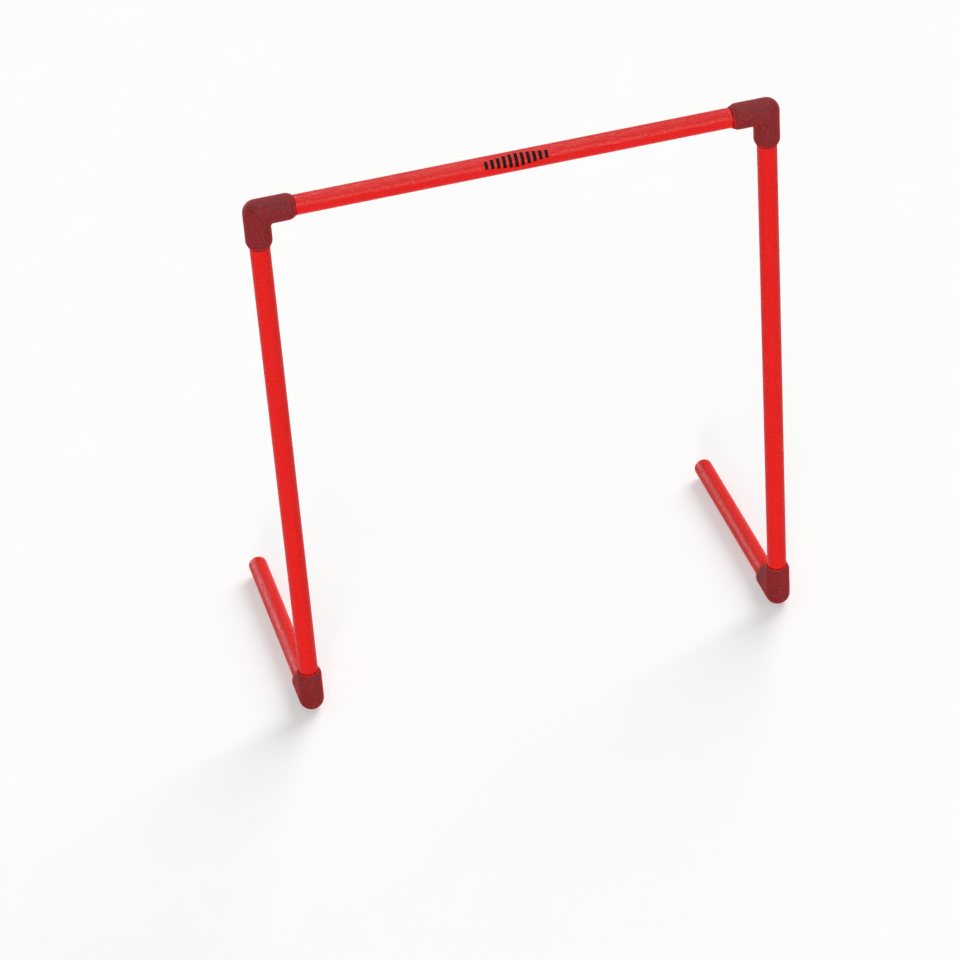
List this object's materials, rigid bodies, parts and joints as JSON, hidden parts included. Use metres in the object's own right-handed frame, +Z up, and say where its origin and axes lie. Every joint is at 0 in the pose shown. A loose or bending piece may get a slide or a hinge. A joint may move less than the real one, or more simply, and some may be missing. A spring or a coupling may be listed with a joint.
{
  "type": "speed hurdle",
  "caption": "Low training hurdle of plastic tube: a crossbar on uprights, elbow fittings at the corners, and feet that run back along the floor and swivel in line for flat storage.",
  "frame": {"origin": "on the floor, under the middle of the hurdle's bounding box", "axes": "+Z up, +X along the crossbar, +Y the way the feet run back from the uprights"},
  "size_m": [0.5362, 0.261, 0.61],
  "materials": {
    "tube": "extruded, semi-gloss red",
    "elbow": "moulded, matte dark maroon",
    "plug": "moulded, satin red"
  },
  "bodies": {
    "frame": {"crossbar": "tube", "left_upright": "tube", "right_upright": "tube", "left_upper_elbow": "elbow", "right_upper_elbow": "elbow"},
    "left_foot": {"left_heel_elbow": "elbow", "left_foot_tube": "tube", "left_foot_plug": "plug"},
    "right_foot": {"right_heel_elbow": "elbow", "right_foot_tube": "tube", "right_foot_plug": "plug"}
  },
  "joints": [
    {"name": "left_foot_swivel", "type": "hinge", "parent": "frame", "child": "left_foot", "pos_m": [-0.255, -0.11745, 0.0376], "axis": [0, 0, -1], "continuous": true},
    {"name": "right_foot_swivel", "type": "hinge", "parent": "frame", "child": "right_foot", "pos_m": [0.255, -0.11745, 0.0376], "axis": [0, 0, 1], "continuous": true}
  ]
}
